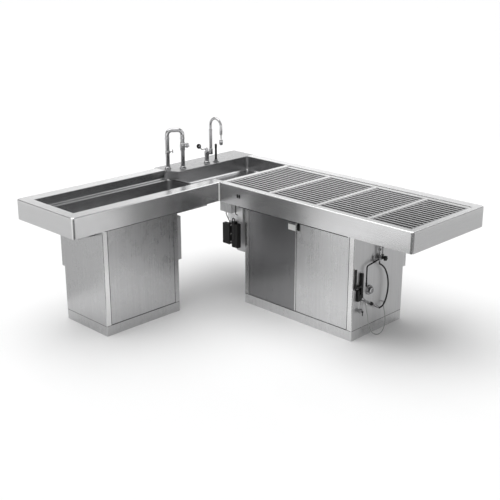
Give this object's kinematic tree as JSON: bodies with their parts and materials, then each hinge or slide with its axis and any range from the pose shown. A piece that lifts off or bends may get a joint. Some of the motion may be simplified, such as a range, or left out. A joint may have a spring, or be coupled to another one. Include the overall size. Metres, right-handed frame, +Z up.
{
  "type": "autopsy table",
  "caption": "L-shaped steel autopsy table on cabinets: a stepped basin and corner sink in one wing, slotted lift-out grates over a drain tray in the other, with taps and spray gear.",
  "frame": {"origin": "on the floor, under the middle of the bench top's box", "axes": "+X along the right wing towards its free end, +Y towards the back, +Z up"},
  "size_m": [2.37, 2.085, 1.264],
  "materials": {
    "brushed_steel": "brushed",
    "panel_steel": "brushed, soft sheen",
    "polished_steel": "polished",
    "black_plastic": "satin black",
    "dark_rubber": "matte",
    "pale_plastic": "pale, satin",
    "waste_pipe": "grey, satin"
  },
  "bodies": {
    "bench": {"basin_waste_pipe": "waste_pipe", "control_box_1": "black_plastic", "control_box_2": "black_plastic", "control_cable": "dark_rubber", "corner_sink": "brushed_steel", "cross_rail_1": "brushed_steel", "cross_rail_2": "brushed_steel", "cross_rail_3": "brushed_steel", "drain_cock": "polished_steel", "drain_tray": "brushed_steel", "junction_box": "panel_steel", "left_access_panel": "panel_steel", "left_back_duct": "panel_steel", "left_back_rim": "brushed_steel", "left_basin": "brushed_steel", "left_end_panel": "panel_steel", "left_end_rim": "brushed_steel", "left_front_rim": "brushed_steel", "left_hinge_rod": "polished_steel", "left_inner_duct": "panel_steel", "left_plinth": "panel_steel", "left_rear_panel": "panel_steel", "loop_pipe": "polished_steel", "mixer_body": "polished_steel", "right_back_duct": "panel_steel", "right_back_panel": "panel_steel", "right_back_rim": "brushed_steel", "right_end_panel": "panel_steel", "right_end_rim": "brushed_steel", "right_front_rim": "brushed_steel", "right_hinge_rod": "polished_steel", "right_inner_duct": "panel_steel", "right_inner_panel": "panel_steel", "right_plinth": "panel_steel", "sink_waste_pipe": "waste_pipe", "spray_gun": "black_plastic", "spray_hose": "dark_rubber", "supply_valve": "polished_steel", "tap_deck": "brushed_steel", "thin_hose": "pale_plastic"},
    "left_door": {"left_door": "panel_steel"},
    "right_door": {"right_door": "panel_steel"},
    "latch": {"door_latch": "black_plastic"},
    "grate_1": {"grate_1": "brushed_steel"},
    "grate_2": {"grate_2": "brushed_steel"},
    "grate_3": {"grate_3": "brushed_steel"},
    "grate_4": {"grate_4": "brushed_steel"},
    "basin_strainer": {"basin_strainer": "polished_steel"},
    "sink_strainer": {"sink_strainer": "polished_steel"},
    "button_1": {"switch_button_1": "black_plastic"},
    "button_2": {"switch_button_2": "black_plastic"},
    "loop_knob": {"loop_knob": "polished_steel"},
    "loop_lever": {"loop_lever": "polished_steel"},
    "mixer_lever": {"mixer_lever": "polished_steel"},
    "gooseneck": {"gooseneck": "polished_steel"},
    "hand_spray": {"hand_spray": "black_plastic"},
    "supply_knob": {"supply_knob": "black_plastic"},
    "trigger": {"spray_trigger": "black_plastic"},
    "dial_knob": {"dial_knob": "polished_steel"},
    "cock_handle": {"cock_handle": "polished_steel"}
  },
  "joints": [
    {"name": "left_door_swing", "type": "hinge", "parent": "bench", "child": "left_door", "pos_m": [-0.264, 0.3115, 0.4], "axis": [0, 0, -1], "range_deg": [0, 110]},
    {"name": "right_door_swing", "type": "hinge", "parent": "bench", "child": "right_door", "pos_m": [0.637, 0.3115, 0.4], "axis": [0, 0, 1], "range_deg": [0, 110]},
    {"name": "latch_turn", "type": "hinge", "parent": "right_door", "child": "latch", "pos_m": [0.2045, 0.3025, 0.701], "axis": [0, 1, 0], "range_deg": [0, 90]},
    {"name": "grate_1_lift", "type": "slide", "parent": "bench", "child": "grate_1", "axis": [0, 0, 1], "range_m": [0, 0.25]},
    {"name": "grate_2_lift", "type": "slide", "parent": "bench", "child": "grate_2", "axis": [0, 0, 1], "range_m": [0, 0.25]},
    {"name": "grate_3_lift", "type": "slide", "parent": "bench", "child": "grate_3", "axis": [0, 0, 1], "range_m": [0, 0.25]},
    {"name": "grate_4_lift", "type": "slide", "parent": "bench", "child": "grate_4", "axis": [0, 0, 1], "range_m": [0, 0.25]},
    {"name": "basin_strainer_lift", "type": "slide", "parent": "bench", "child": "basin_strainer", "axis": [0, 0, 1], "range_m": [0, 0.25]},
    {"name": "sink_strainer_lift", "type": "slide", "parent": "bench", "child": "sink_strainer", "axis": [0, 0, 1], "range_m": [0, 0.2]},
    {"name": "button_1_press", "type": "slide", "parent": "bench", "child": "button_1", "axis": [0, 1, 0], "range_m": [0, 0.002], "stiffness_N_per_m": 400, "springref_m": -0.001},
    {"name": "button_2_press", "type": "slide", "parent": "bench", "child": "button_2", "axis": [0, 1, 0], "range_m": [0, 0.002], "stiffness_N_per_m": 400, "springref_m": -0.001},
    {"name": "loop_knob_turn", "type": "hinge", "parent": "bench", "child": "loop_knob", "pos_m": [-1.012, 0.3275, 1.072], "axis": [0, 1, 0], "range_deg": [0, 270]},
    {"name": "loop_lever_turn", "type": "hinge", "parent": "bench", "child": "loop_lever", "pos_m": [-1.082, 0.2355, 1.028], "axis": [0, 1, 0], "range_deg": [0, 90]},
    {"name": "mixer_lever_turn", "type": "hinge", "parent": "bench", "child": "mixer_lever", "pos_m": [-1.012, 0.5765, 0.9983], "axis": [0, 0, 1], "range_deg": [-45, 45]},
    {"name": "gooseneck_swivel", "type": "hinge", "parent": "bench", "child": "gooseneck", "pos_m": [-1.012, 0.6205, 1], "axis": [0, 0, 1], "range_deg": [-60, 45]},
    {"name": "hand_spray_lift", "type": "slide", "parent": "bench", "child": "hand_spray", "axis": [0, 0, 1], "range_m": [0, 0.3]},
    {"name": "supply_knob_turn", "type": "hinge", "parent": "bench", "child": "supply_knob", "pos_m": [0.71, 0.5875, 0.535], "axis": [1, 0, 0], "range_deg": [0, 270]},
    {"name": "trigger_pull", "type": "hinge", "parent": "bench", "child": "trigger", "pos_m": [0.701, 0.3565, 0.386], "axis": [-1, 0, 0], "range_deg": [0, 10], "stiffness_Nm_per_rad": 0.6, "springref_deg": -28.65},
    {"name": "dial_turn", "type": "hinge", "parent": "bench", "child": "dial_knob", "pos_m": [0.69, 0.4775, 0.328], "axis": [1, 0, 0], "range_deg": [0, 270]},
    {"name": "cock_turn", "type": "hinge", "parent": "bench", "child": "cock_handle", "pos_m": [0.71, 0.3685, 0.208], "axis": [1, 0, 0], "range_deg": [0, 90]}
  ]
}
